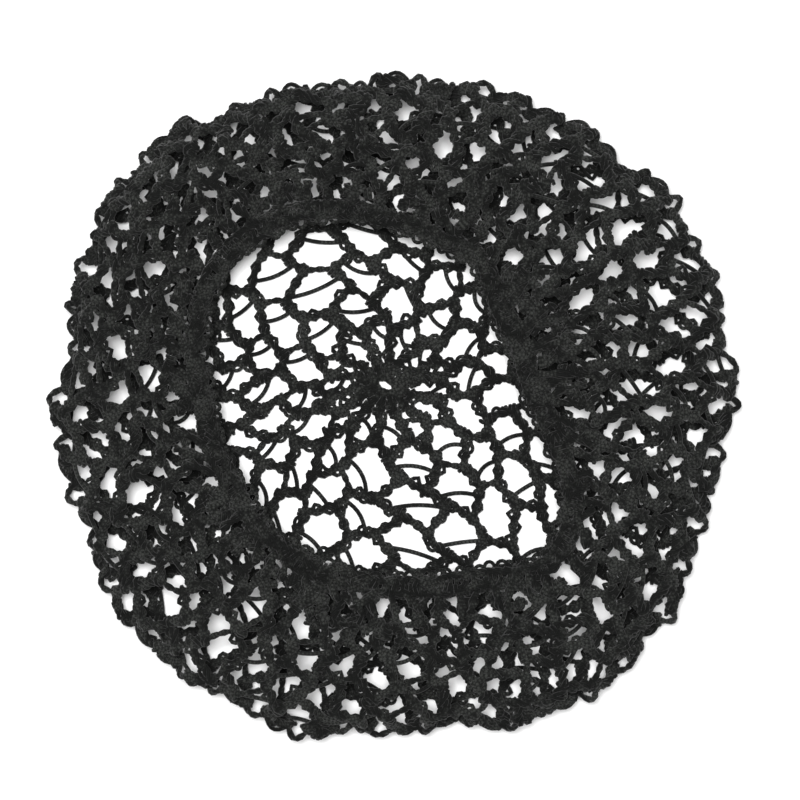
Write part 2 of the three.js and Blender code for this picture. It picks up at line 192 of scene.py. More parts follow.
def through_rows(places: Array, values: Array, at: Array) -> Array:
    """Values along a cubic curve through the rows of a table.

    The slope at a row is that from the row before it to the row after it, and between two rows
    the curve is low + s*t + b*t^2 + c*t^3, where b and c meet the upper row and its slope.

    Args:
        places: The rows' places, rising.
        values: One row of values for each place.
        at: Places to work the values out at.

    Returns:
        The values, with the table's columns along the last axis.
    """
    last = len(places) - 1
    rows = np.arange(last + 1)
    ahead = np.minimum(rows + 1, last)
    behind = np.maximum(rows - 1, 0)
    slopes = (values[ahead] - values[behind]) / (places[ahead] - places[behind])[:, None]
    row = np.clip(np.searchsorted(places, at, side="right") - 1, 0, last - 1)
    span = places[row + 1] - places[row]
    t = ((at - places[row]) / span)[..., None]
    low, high = values[row], values[row + 1]
    slope_low = slopes[row] * span[..., None]
    slope_high = slopes[row + 1] * span[..., None]
    bend = 3 * (high - low) - 2 * slope_low - slope_high
    twist = slope_low + slope_high - 2 * (high - low)
    return low + slope_low * t + bend * t**2 + twist * t**3


def wander(
    share: Array, knots: int, spread: tuple[float, float], rng: np.random.Generator
) -> Array:
    """Values by chance at evenly spaced places, joined by straight lines.

    Args:
        share: Shares of the way to find the values at.
        knots: How many places there are.
        spread: The least and the greatest value.
        rng: Source of chance.

    Returns:
        The values.
    """
    return np.interp(share, np.linspace(0, 1, knots), rng.uniform(*spread, knots))


def round_section(side: Array, wide: Array | float, high: Array | float, angle: Array) -> Array:
    """Steps round an upright section: side * wide * cos(angle) + up * high * sin(angle)."""
    return side * (wide * np.cos(angle))[..., None] + UP * (high * np.sin(angle))[..., None]


def new_object(name: str, data: bpy.types.ID) -> bpy.types.Object:
    """A new object at the origin.

    Args:
        name: Its name.
        data: Its mesh, lamp or camera.

    Returns:
        The object, linked to the scene.
    """
    made = bpy.data.objects.new(name, data)
    bpy.context.collection.objects.link(made)
    return made


@dataclass(frozen=True)
class NetSurface:
    """The middle of the net's wall, by azimuth and by how far along the net from the crown."""

    middle: tuple[float, float]
    outline_middle: tuple[float, float]
    wall: float = 4.0
    rim_width: float = 8.0
    piece_gap: float = 0.3
    middling_edge: float = 128.0
    round_to: float = 12.0
    shaped_from: float = 100.0
    widest: float = 132.0
    gathers_from: float = 142.0
    rim_holds_from: float = 178.0
    mouth_line: float = 195.0
    scallops_from: float = 108.0
    gathers: int = 20
    gather_depth: float = 2.8
    scallop: float = 1.1
    probe: float = 0.05
    probe_turn: float = 0.005

    def section(self, azimuth: Array) -> Array:
        """Sizes of the net's section, by the cubic curve through the outline's rows.

        Args:
            azimuth: Azimuths of the sections.

        Returns:
            Reach of the outer edge and of the mouth, and heights of the crest and of the rim.
        """
        turned = np.degrees(np.mod(azimuth, FULL_TURN))
        places = SECTIONS["azimuth"]
        places = np.concatenate([places[-2:] - 360, places, places[:2] + 360])
        values = np.stack([SECTIONS[name] for name in ROW_SIZES], axis=-1)
        return through_rows(places, np.concatenate([values[-2:], values, values[:2]]), turned)

    def fold_rise(self, azimuth: Array, along: Array) -> Array:
        """How far heaps and hollows raise the net: the sum of rise * exp(-round^2 - onward^2).

        Args:
            azimuth: Azimuths of the places.
            along: Their places along the net.

        Returns:
            The rise at each place.
        """
        turn = azimuth[..., None] - np.radians(FOLDS["azimuth"])
        around = np.sin(turn / 2) / np.sin(np.radians(FOLDS["spread"]) / 2)
        onward = (along[..., None] - FOLDS["along"]) / FOLDS["length"]
        return (FOLDS["rise"] * np.exp(-(around**2) - onward**2)).sum(axis=-1)

    def point(self, azimuth: Array, along: Array) -> Array:
        """Points on the surface.

        Reach is shared out between the outer edge and the mouth, height between the crest and the
        rim, and gathers add a cosine round the mouth. The crown is set off from the middle.

        Args:
            azimuth: Azimuths of the places.
            along: Their places along the net.

        Returns:
            Points, with x, y and z along the last axis.
        """
        azimuth, along = np.broadcast_arrays(azimuth, along)
        outer, mouth, crest, rim = np.moveaxis(self.section(azimuth), -1, 0)
        shares = np.stack([COURSE[name] for name in ROW_SIZES], axis=-1)
        to_outer, to_mouth, to_crest, to_rim = np.moveaxis(
            through_rows(COURSE["along"], shares, along), -1, 0
        )
        scallop = self.scallop * (np.cos(self.gathers * azimuth) - 1)
        edge = outer - self.wall / 2 + scallop * smoothstep(along, self.scallops_from, self.widest)
        shaped = smoothstep(along, self.round_to, self.shaped_from)
        reach = to_outer * (self.middling_edge + (edge - self.middling_edge) * shaped)
        reach = reach + to_mouth * (mouth + self.rim_width + self.piece_gap)
        height = (1 - to_crest - to_rim) * self.wall / 2 + to_crest * crest + to_rim * rim
        slack = 1 - smoothstep(along, self.rim_holds_from, self.mouth_line)
        drawn = smoothstep(along, self.gathers_from, self.rim_holds_from)
        height = height + self.gather_depth * drawn * slack * np.cos(self.gathers * azimuth)
        folded = slack * smoothstep(along, self.widest, self.gathers_from)
        height = height + self.fold_rise(azimuth, along) * folded
        set_off = 1 - smoothstep(along, self.round_to, self.widest)
        x_set_off = self.outline_middle[0] + (self.middle[0] - self.outline_middle[0]) * set_off
        y_set_off = self.outline_middle[1] + (self.middle[1] - self.outline_middle[1]) * set_off
        x = x_set_off + reach * np.cos(azimuth)
        y = y_set_off + reach * np.sin(azimuth)
        return np.stack([x, y, height], axis=-1)

    def outward(self, azimuth: Array, along: Array) -> Array:
        """Unit normals, out of the bag: the step round crossed with the step onward.

        Args:
            azimuth: Azimuths of the places.
            along: Their places along the net.

        Returns:
            The normals.
        """
        step, turn = self.probe, self.probe_turn
        onward = self.point(azimuth, along + step) - self.point(azimuth, along - step)
        around = self.point(azimuth + turn, along) - self.point(azimuth - turn, along)
        return unit(np.cross(around, onward))


def net_surface() -> NetSurface:
    """The net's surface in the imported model's frame, found from where its starting ring lies.

    Returns:
        The surface.
    """
    low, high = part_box("crown_ring")
    middle = ((low[0] + high[0]) / 2 / MM, (low[1] + high[1]) / 2 / MM)
    outline_middle = (middle[0] - RING_FROM_OUTLINE[0], middle[1] - RING_FROM_OUTLINE[1])
    return NetSurface(middle=middle, outline_middle=outline_middle)


class Part(Enum):
    """The pieces of net, by their nodes."""

    CROWN = "crown_net"
    LOWER = "lower_net"
    SIDE = "side_net"
    UPPER = "upper_net"
    GATHERED = "gathered_net"


@dataclass(frozen=True)
class Round:
    """One round of cells, which ends at a zigzag seam."""

    cells: int
    ends: float
    sway: float
    lift: float
    fullness: float


ROUNDS = (
    Round(14, 24, 0.8, 0.2, 1.72),
    Round(14, 38, 1.3, 0.3, 1.4),
    Round(20, 53, 1.7, 0.4, 1.22),
    Round(26, 68, 2.0, 0.6, 1.26),
    Round(32, 84, 2.3, 0.8, 1.34),
    Round(38, 100, 2.6, 1.2, 1.4),
    Round(44, 116, 2.8, 2.0, 1.52),
    Round(48, 132, 2.8, 2.4, 1.5),
    Round(52, 145, 3.2, 2.2, 1.6),
    Round(52, 158, 3.8, 2.8, 1.58),
    Round(52, 170, 3.8, 2.8, 1.5),
    Round(52, 182, 3.6, 2.4, 1.26),
    Round(52, 193.5, 1.6, 0.8, 1.1),
)


class Strand(Enum):
    """The four kinds of cord run that make a cell."""

    POST = "post"
    LEANING = "leaning arm"
    LINK = "link"
    BAR = "bar"


@dataclass
class Runs:
    """Runs of cord, each a shallow arc from a start through a middle to an end."""

    start: Array
    middle: Array
    end: Array
    outward: Array
    round_number: Array

    def at(self, t: Array) -> Array:
        """Points on every run: S(1-t)(1-2t) + 4Mt(1-t) + Et(2t-1).

        Args:
            t: Shares of the way, runs by steps.

        Returns:
            An array of runs by steps by 3.
        """
        t = t[..., None]
        start, middle, end = self.start[:, None], self.middle[:, None], self.end[:, None]
        return start * (1 - t) * (1 - 2 * t) + 4 * middle * t * (1 - t) + end * t * (2 * t - 1)

    def path(self, steps: int, first: Array | float = 0.0, last: Array | float = 1.0) -> Array:
        """Evenly spaced points along every run.

        Args:
            steps: Number of points on each run.
            first: Share of the run where the points start, one value or one for each run.
            last: Share of the run where they end, likewise.

        Returns:
            An array of runs by steps by 3.
        """
        first = np.broadcast_to(np.asarray(first, dtype=float), (self.count,))
        last = np.broadcast_to(np.asarray(last, dtype=float), (self.count,))
        return self.at(np.linspace(first, last, steps, axis=1))

    def pick(self, chosen: Array) -> "Runs":
        """The runs that a mask or an index array chooses."""
        return Runs(*(column[chosen] for column in self.columns))

    def of_rounds(self, first: int, last: int) -> "Runs":
        """The runs of the rounds from a first to a last one."""
        return self.pick((self.round_number >= first) & (self.round_number <= last))

    @classmethod
    def joined(cls, several: "list[Runs]") -> "Runs":
        """One set of runs from several."""
        return cls(*(np.concatenate(parts) for parts in zip(*(runs.columns for runs in several))))

    @property
    def columns(self) -> list[Array]:
        """The fields' arrays, in order."""
        return [getattr(self, each.name) for each in fields(self)]

    @property
    def count(self) -> int:
        """How many runs there are."""
        return len(self.start)

    @property
    def length(self) -> Array:
        """The straight length of every run."""
        return np.linalg.norm(self.end - self.start, axis=-1)


@dataclass
class Seam:
    """The knots between two rounds in order of azimuth: heads of posts below, feet above."""

    azimuth: Array
    along: Array
    is_head: Array
    post: Array
    offset: Array
    point: Array
    outward: Array


@dataclass
class Lace:
    """The whole net's cells, as runs of cord between knots on the surface."""

    surface: NetSurface
    rounds: tuple[Round, ...] = ROUNDS
    ring_line: float = 9.5
    first_post: float = 0.25
    swing_share: float = 0.22
    head_shift: float = 0.09
    evening_passes: int = 4
    bar_bow: tuple[float, float] = (0.4, 2.4)
    bar_from: tuple[float, float] = (0.5, 0.8)
    bar_to: tuple[float, float] = (0.1, 0.6)
    wobble: float = 0.9
    flop: float = 0.9
    crown_ends: tuple[float, float] = (60.0, 100.0)
    seed: int = 7
    seams: list[Seam] = field(default_factory=list)
    runs: dict[Strand, Runs] = field(default_factory=dict)

    def __post_init__(self) -> None:
        """Lays out the knots, then the runs between them."""
        self.rng = np.random.default_rng(self.seed)
        self.seams = [self._seam(number) for number in range(len(self.rounds) + 1)]
        self.runs = self._all_runs()

    def _seam(self, number: int) -> Seam:
        """The knots of the seam before a round, evened round the net and then set swaying.

        Args:
            number: The number of the round above the seam.

        Returns:
            The seam's knots.
        """
        below = self.rounds[number - 1] if number > 0 else None
        above = self.rounds[number] if number < len(self.rounds) else None
        place = below.ends if below else self.ring_line
        swing = 0.0
        if below and above:
            before = self.rounds[number - 2].ends if number > 1 else self.ring_line
            swing = self.swing_share * (above.ends - before) / 2
        parts = []
        if below:
            parts.append(self._posts(number - 1, place - swing, True))
        if above:
            parts.append(self._posts(number, place + swing, False))
        azimuth, along, is_head, post = (np.concatenate(column) for column in zip(*parts))
        order = np.argsort(azimuth, kind="stable")
        azimuth, along, is_head, post = azimuth[order], along[order], is_head[order], post[order]
        for _ in range(self.evening_passes):
            before = np.roll(azimuth, 1)
            before[0] -= FULL_TURN
            after = np.roll(azimuth, -1)
            after[-1] += FULL_TURN
            azimuth = azimuth / 2 + (before + after) / 4
        if below and above:
            shift = self.head_shift * FULL_TURN / below.cells / 2
            azimuth = azimuth + np.where(is_head, 1, -1) * shift
        outside = smoothstep(along, *self.crown_ends)
        in_crown = self._crowded(azimuth, "crown")
        azimuth = in_crown + outside * (self._crowded(azimuth, "net") - in_crown)
        point = self.surface.point(azimuth, along)
        outward = self.surface.outward(azimuth, along)
        sway, lift = (below or above).sway, (below or above).lift
        spread = self.rng.uniform(-1, 1, (len(azimuth), 3))
        offset = sway * (spread - (spread * outward).sum(-1, keepdims=True) * outward)
        offset = offset + lift * self.rng.uniform(-1, 1, (len(azimuth), 1)) * outward
        return Seam(azimuth, along, is_head, post, offset, point + offset, outward)

    @staticmethod
    def _crowded(azimuth: Array, column: str) -> Array:
        """Azimuths moved so that knots stand as closely as the crowding table says.

        The table's closeness is summed round the net, and an even azimuth becomes the one where
        that sum has reached the same share of its whole.

        Args:
            azimuth: Even azimuths.
            column: The table's column.

        Returns:
            The crowded azimuths, in the same order.
        """
        places = np.radians(CROWDING["azimuth"])
        between = (CROWDING[column][1:] + CROWDING[column][:-1]) / 2
        summed = np.concatenate([[0], np.cumsum(between * np.diff(places))])
        turns = np.floor(azimuth / FULL_TURN) * FULL_TURN
        return turns + np.interp(azimuth - turns, summed * FULL_TURN / summed[-1], places)

    def _posts(self, number: int, along: float, is_head: bool) -> tuple[Array, ...]:
        """The ends of a round's posts at one seam, evenly spaced, with odd rounds half a cell on.

        Args:
            number: The round's number.
            along: Where the ends are along the net.
            is_head: Whether these are the posts' heads.

        Returns:
            Azimuths, places along the net, whether each is a head, and the posts' numbers.
        """
        cells = self.rounds[number].cells
        post = np.arange(cells)
        azimuth = (post + (number % 2) / 2 + self.first_post) / cells * FULL_TURN
        return azimuth, np.full(cells, float(along)), np.full(cells, is_head), post

    def _between(self, seam_a: Seam, a: Array, seam_b: Seam, b: Array, number: int) -> Runs:
        """Runs from knots of one seam to knots of another, bent as the surface is.

        Args:
            seam_a: The seam where the runs start.
            a: The knots where they start.
            seam_b: The seam where they end.
            b: The knots where they end.
            number: The round that the runs belong to.

        Returns:
            The runs.
        """
        turn = np.mod(seam_b.azimuth[b] - seam_a.azimuth[a] + math.pi, FULL_TURN) - math.pi
        azimuth = seam_a.azimuth[a] + turn / 2
        along = (seam_a.along[a] + seam_b.along[b]) / 2
        middle = self.surface.point(azimuth, along) + (seam_a.offset[a] + seam_b.offset[b]) / 2
        outward = unit(seam_a.outward[a] + seam_b.outward[b])
        lies_under = np.where(outward[:, 2:] < 0, -1.0, 1.0)
        facing = unit(outward + self.flop * lies_under * UP)
        start, end = seam_a.point[a], seam_b.point[b]
        side = np.cross(facing, unit(end - start))
        middle = middle + side * self.rng.uniform(-1, 1, (len(a), 1)) * self.wobble
        return Runs(start, middle, end, facing, np.full(len(a), number))

    def _all_runs(self) -> dict[Strand, Runs]:
        """All runs by their kind.

        A post joins its foot to its head. Round a seam, a foot followed by a head or another foot
        is a leaning arm, and a head followed by a foot is a link. A bar goes from the post under a
        link's head to the leaning arm that shares its foot.

        Returns:
            The runs of every kind.
        """
        found: dict[Strand, list[Runs]] = {kind: [] for kind in Strand}
        for number in range(len(self.rounds)):
            low, high = self.seams[number], self.seams[number + 1]
            feet = np.flatnonzero(~low.is_head)
            heads = np.flatnonzero(high.is_head)
            feet = feet[np.argsort(low.post[feet])]
            heads = heads[np.argsort(high.post[heads])]
            found[Strand.POST].append(self._between(low, feet, high, heads, number))
            if number == len(self.rounds) - 1:
                continue
            here = np.arange(len(high.azimuth))
            onward = np.roll(here, -1)
            links = high.is_head[here] & ~high.is_head[onward]
            arms = ~links
            found[Strand.LINK].append(self._between(high, here[links], high, onward[links], number))
            leaning = self._between(high, onward[arms], high, here[arms], number)
            found[Strand.LEANING].append(leaning)
            arm_row = np.full(len(here), -1)
            arm_row[here[arms]] = np.arange(arms.sum())
            rows = arm_row[onward[links]]
            kept = rows >= 0
            posts = found[Strand.POST][-1].pick(high.post[here[links][kept]])
            found[Strand.BAR].append(self._bars(posts, leaning.pick(rows[kept]), number))
        return {kind: Runs.joined(several) for kind, several in found.items()}

    def _bars(self, posts: Runs, arms: Runs, number: int) -> Runs:
        """Single cords across cells, each bowed towards the foot of its post.

        Args:
            posts: The posts on whose upper halves the bars start.
            arms: The leaning arms on which they end.
            number: The round that the bars belong to.

        Returns:
            The runs.
        """
        start = posts.at(self.rng.uniform(*self.bar_from, (posts.count, 1)))[:, 0]
        end = arms.at(self.rng.uniform(*self.bar_to, (posts.count, 1)))[:, 0]
        middle = (start + end) / 2
        heading = unit(end - start)
        down = posts.start - middle
        down = unit(down - (down * heading).sum(-1, keepdims=True) * heading)
        middle = middle + down * self.rng.uniform(*self.bar_bow, (posts.count, 1))
        return Runs(start, middle, end, arms.outward, np.full(posts.count, number))


@dataclass
class Skein:
    """Cord collected for one piece, as closed tubes swept along paths."""

    sides: int = 5
    floor: float = 0.0
    points: list[Array] = field(default_factory=list)
    quads: list[Array] = field(default_factory=list)
    caps: list[Array] = field(default_factory=list)
    quad_uvs: list[Array] = field(default_factory=list)
    cap_uvs: list[Array] = field(default_factory=list)
    count: int = 0

    def wind(self, path: Array, reference: Array, radius: float) -> None:
        """Adds a tube along every path.

        A point on a tube is path + radius * (across * cos(a) + over * sin(a)), where across is
        square to the path and to the reference direction, and over is square to both.

        Args:
            path: Tubes by steps by 3.
            reference: A direction that no path runs along, of a shape that fits the paths.
            radius: The cord's radius.
        """
        tubes, steps, _ = path.shape
        heading = unit(np.gradient(path, axis=1))
        across = unit(np.cross(heading, np.broadcast_to(reference, path.shape)))
        over = np.cross(across, heading)
        angle = np.arange(self.sides) * FULL_TURN / self.sides
        ring = (
            across[:, :, None, :] * np.cos(angle)[:, None]
            + over[:, :, None, :] * np.sin(angle)[:, None]
        )
        points = path[:, :, None, :] + ring * radius
        points[..., 2] = np.maximum(points[..., 2], self.floor)

        index = self.count + np.arange(points[..., 0].size).reshape(tubes, steps, self.sides)
        onward = np.roll(index, -1, axis=2)
        faces = np.stack([index[:, :-1], index[:, 1:], onward[:, 1:], onward[:, :-1]], axis=-1)
        step_length = np.linalg.norm(np.diff(path, axis=1), axis=-1)
        length = np.concatenate([np.zeros((tubes, 1)), np.cumsum(step_length, axis=1)], axis=1)
        share = np.arange(self.sides + 1) / self.sides
        uv = np.stack(np.broadcast_arrays(share, length[:, :, None]), axis=-1)
        around = [uv[:, :-1, :-1], uv[:, 1:, :-1], uv[:, 1:, 1:], uv[:, :-1, 1:]]
        self.points.append(points.reshape(-1, 3))
        self.quads.append(faces.reshape(-1, 4))
        self.quad_uvs.append(np.stack(around, axis=-2).reshape(-1, 2))
        self.caps.append(np.concatenate([index[:, 0], index[:, -1, ::-1]]))
        ends = np.concatenate([uv[:, 0, :-1], uv[:, -1, :-1][:, ::-1]])
        self.cap_uvs.append(ends.reshape(-1, 2))
        self.count += points[..., 0].size

    def piece(self, name: str) -> bpy.types.Object:
        """Writes the cord into a mesh object at the origin, in metres, with its own UV map.

        Args:
            name: The piece's name.

        Returns:
            The object, linked to the scene.
        """
        points = np.concatenate(self.points) * MM
        quads = np.concatenate(self.quads)
        caps = np.concatenate(self.caps)
        uvs = np.concatenate([*self.quad_uvs, *self.cap_uvs])
        corners = np.concatenate([quads.ravel(), caps.ravel()]).astype(np.int32)
        sizes = np.concatenate([np.full(len(quads), 4), np.full(len(caps), self.sides)])
        starts = np.concatenate([[0], np.cumsum(sizes)[:-1]])
        mesh = bpy.data.meshes.new(name)
        mesh.vertices.add(len(points))
        mesh.vertices.foreach_set("co", points.ravel())
        mesh.loops.add(len(corners))
        mesh.loops.foreach_set("vertex_index", corners)
        mesh.polygons.add(len(sizes))
        mesh.polygons.foreach_set("loop_start", starts.astype(np.int32))
        mesh.polygons.foreach_set("use_smooth", np.ones(len(sizes), dtype=bool))
        mesh.update(calc_edges=True)
        mesh.uv_layers.new(name=CORD_UV).data.foreach_set("uv", uvs.ravel())
        mesh.validate()
        return new_object(name, mesh)


@dataclass(frozen=True)
class Crochet:
    """Cord being worked: the lace it follows, its finishes, its skein and its stitches' sizes."""

    lace: Lace
    materials: dict[str, bpy.types.Material]
    rng: np.random.Generator | None = None
    skein: Skein = field(default_factory=Skein)
    cord: float = 0.88
    rope_reaches: tuple[float, ...] = (1.6, 0.72, 1.1, 0.72)
    rope_reach_spread: tuple[float, float] = (0.8, 1.2)
    rope_depth: float = 0.85
    rope_turn: float = 9.8
    rope_steps: int = 12
    rope_overrun: float = 0.05
    rope_fullness_spread: tuple[float, float] = (0.88, 1.16)
    unevenness: float = 0.11
    neck_at: float = 0.42
    neck_tightness: float = 0.34
    link_reach: float = 0.5
    link_turn: float = 7.5
    link_steps: int = 9
    bar_steps: int = 8
    wrap_reach: float = 1.75
    wrap_reach_spread: tuple[float, float] = (0.85, 1.12)
    wrap_flat: float = 0.74
    wrap_pitch: float = 1.6
    wrap_steps_a_turn: int = 8
    wrap_lean_spread: tuple[float, float] = (0.2, 1.6)
    wrap_slip: float = 0.03
    loop_cord: float = 0.78
    loop_reach: float = 2.3
    loop_reach_spread: tuple[float, float] = (0.85, 1.25)
    loop_length: float = 3.7
    loop_length_spread: tuple[float, float] = (0.75, 1.15)
    loop_rise: tuple[float, float] = (-0.5, 0.9)
    loop_squareness: float = 0.6
    loop_steps: int = 9
    loop_foot: float = 0.02
    knot_turns: float = 1.8
    knot_steps: int = 14
    knot_reach: tuple[float, float] = (1.0, 1.9)
    knot_flat: float = 0.6
    knot_slant: float = 1.3

    def begin(self, seed: int) -> "Crochet":
        """The same work with an empty skein and its own source of chance."""
        return replace(self, rng=np.random.default_rng(seed), skein=Skein())

    def hand_over(self, name: str, node: str, slot: str) -> bpy.types.Object:
        """Makes a piece of the skein, gives it the finish of its slot and hides the CAD node that it
        stands for.

        Args:
            name: The piece's name.
            node: The CAD node that it stands for.
            slot: The record's material slot.

        Returns:
            The piece.
        """
        piece = self.skein.piece(name)
        piece.data.materials.append(self.materials[slot])
        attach(piece, "root")
        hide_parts(node)
        triangles = len(piece.data.loops) - 2 * len(piece.data.polygons)
        log.info("%s: %d triangles for %s", name, triangles, node)
        return piece

    def some(self, runs: Runs, share: float) -> tuple[Runs, Runs]:
        """Parts runs by chance into a share of them and the others."""
        chosen = self.rng.uniform(0, 1, runs.count) < share
        return runs.pick(chosen), runs.pick(~chosen)

    @staticmethod
    def sides(path: Array, outward: Array) -> tuple[Array, Array]:
        """Directions along paths, square to them and to each other.

        Args:
            path: Runs by steps by 3.
            outward: Outward directions, of a shape that fits the paths.

        Returns:
            Sideways directions, and directions over the paths.
        """
        heading = unit(np.gradient(path, axis=1))
        side = unit(np.cross(heading, outward))
        return side, np.cross(side, heading)

    def beside(self, path: Array, outward: Array, swing: Array, rise: Array) -> Array:
        """Lines beside paths: path + side * swing + over * rise."""
        side, over = self.sides(path, outward)
        return path + side * swing[..., None] + over * rise[..., None]

    def uneven(self, line: Array) -> Array:
        """The line with every point moved a little by chance."""
        return line + self.rng.normal(0, self.unevenness, line.shape)

    def rope(self, path: Array, outward: Array, turn: Array, fullness: Array) -> None:
        """Four twisted cords: side * a sin(p), over * d cos(p), a quarter turn apart.

        The first and the third cord reach out furthest, so lumps swell to one side and then to
        the other. Between lumps, all reaches are drawn in by 1 - k cos(p)^2 to a neck.

        Args:
            path: The rope's middle line, runs by steps by 3.
            outward: Outward directions, of a shape that fits the path.
            turn: The angle p of the first cord at every point.
            fullness: Size against the usual, of a shape that fits the turns.
        """
        drawn = fullness * (1 - self.neck_tightness * np.cos(turn) ** 2)
        for number, usual_reach in enumerate(self.rope_reaches):
            p = turn + FULL_TURN * number / len(self.rope_reaches)
            reach = usual_reach * self.rng.uniform(*self.rope_reach_spread, (len(path), 1))
            rise = self.rope_depth * np.cos(p)
            line = self.beside(path, outward, reach * drawn * np.sin(p), rise)
            self.skein.wind(self.uneven(line), outward, self.cord)

    def arm(self, runs: Runs) -> None:
        """Ropes along runs, each with a neck where its loop stands.

        Args:
            runs: The runs to work along.
        """
        first, last = -self.rope_overrun, 1 + self.rope_overrun
        path = runs.path(self.rope_steps, first, last)
        share = np.linspace(first, last, self.rope_steps)[None]
        from_neck = (share - self.neck_at) * runs.length[:, None]
        half_turns = self.rng.integers(0, 2, (runs.count, 1))
        turn = math.pi * half_turns + FULL_TURN * from_neck / self.rope_turn
        usual = np.array([each.fullness for each in ROUNDS])[runs.round_number]
        fullness = self.rng.uniform(*self.rope_fullness_spread, (runs.count, 1)) * usual[:, None]
        self.rope(path, runs.outward[:, None], turn, fullness)

    def link(self, runs: Runs) -> None:
        """Two cords twisted together: side * r sin(p) and over * r cos(p), half a turn apart.

        Args:
            runs: The runs to lay them along.
        """
        path = runs.path(self.link_steps)
        outward = runs.outward[:, None]
        share = np.linspace(0, 1, self.link_steps)[None]
        start = self.rng.uniform(0, FULL_TURN, (runs.count, 1))
        turn = start + FULL_TURN * share * runs.length[:, None] / self.link_turn
        for half_turn in (0, math.pi):
            swing = self.link_reach * np.sin(turn + half_turn)
            rise = self.link_reach * np.cos(turn + half_turn)
            self.skein.wind(self.beside(path, outward, swing, rise), outward, self.cord)

    def bar(self, runs: Runs) -> None:
        """A single cord along each run."""
        self.skein.wind(runs.path(self.bar_steps), runs.outward[:, None], self.cord)

    def wrap(
        self, runs: Runs, place: float, turns: float, lean: float = 0.5, size: float = 1.0
    ) -> None:
        """Coils round the runs: side * (r cos(p) + lean) and over * r sin(p), flattened.

        Args:
            runs: The runs to wrap.
            place: Share of the run where the coil's middle lies.
            turns: Turns of the coil.
            lean: How far the coil hangs out to one side.
            size: The coil's reach against the usual.
        """
        half = turns * self.wrap_pitch / 2 / runs.length
        middle = place + self.rng.uniform(-self.wrap_slip, self.wrap_slip, runs.count)
        steps = int(round(turns * self.wrap_steps_a_turn)) + 1
        path = runs.path(steps, middle - half, middle + half)
        share = np.linspace(0, 1, steps)[None]
        turn = self.rng.uniform(0, FULL_TURN, (runs.count, 1)) + FULL_TURN * turns * share
        reach = self.rng.uniform(*self.wrap_reach_spread, (runs.count, 1))
        reach = size * self.wrap_reach * reach
        hang = lean * self.rng.uniform(*self.wrap_lean_spread, (runs.count, 1))
        rise = reach * self.wrap_flat * np.sin(turn)
        coil = self.beside(path, runs.outward[:, None], reach * np.cos(turn) + hang, rise)
        self.skein.wind(self.uneven(coil), unit(np.gradient(path, axis=1)), self.cord)

    def loop(self, runs: Runs) -> None:
        """Small loops beside the necks of runs: side * reach * sin(p)^s, onward * -cos(p).

        Args:
            runs: The runs that the loops stand beside.
        """
        foot = runs.path(2, self.neck_at, self.neck_at + self.loop_foot)
        side, over = self.sides(foot, runs.outward[:, None])
        heading = unit(foot[:, 1] - foot[:, 0])[:, None]
        p = np.linspace(0, math.pi, self.loop_steps)[None]
        reach = self.loop_reach * self.rng.uniform(*self.loop_reach_spread, (runs.count, 1))
        reach = reach * self.rng.choice([-1, 1], (runs.count, 1))
        long = self.loop_length * self.rng.uniform(*self.loop_length_spread, (runs.count, 1))
        swing = reach * np.sin(p) ** self.loop_squareness
        onward = -long / 2 * np.cos(p)
        rise = self.rng.uniform(*self.loop_rise, (runs.count, 1)) * np.sin(p)
        line = foot[:, :1] + side[:, :1] * swing[..., None] + heading * onward[..., None]
        line = line + over[:, :1] * rise[..., None]
        self.skein.wind(line, runs.outward[:, None], self.loop_cord)

    def knots(self, place: Array, out: Array, heading: Array) -> None:
        """Short coils, each turned its own way: across * r cos(p) and out * f r sin(p).

        Args:
            place: The knots' middles, a row for each.
            out: Directions off the net there.
            heading: Directions along the net there, square to those.
        """
        count = len(place)
        slant = self.rng.uniform(-self.knot_slant, self.knot_slant, (count, 1))
        axis = heading * np.cos(slant) + np.cross(out, heading) * np.sin(slant)
        across = np.cross(axis, out)
        share = np.linspace(0, 1, self.knot_steps)[None, :, None]
        turn = self.rng.uniform(0, FULL_TURN, (count, 1, 1)) + FULL_TURN * self.knot_turns * share
        reach = self.rng.uniform(*self.knot_reach, (count, 1, 1))
        onward = (share - 0.5) * self.knot_turns * self.wrap_pitch
        coils = place[:, None] + axis[:, None] * onward
        coils = coils + across[:, None] * reach * np.cos(turn)
        coils = coils + out[:, None] * reach * self.knot_flat * np.sin(turn)
        self.skein.wind(coils, axis[:, None], self.cord)


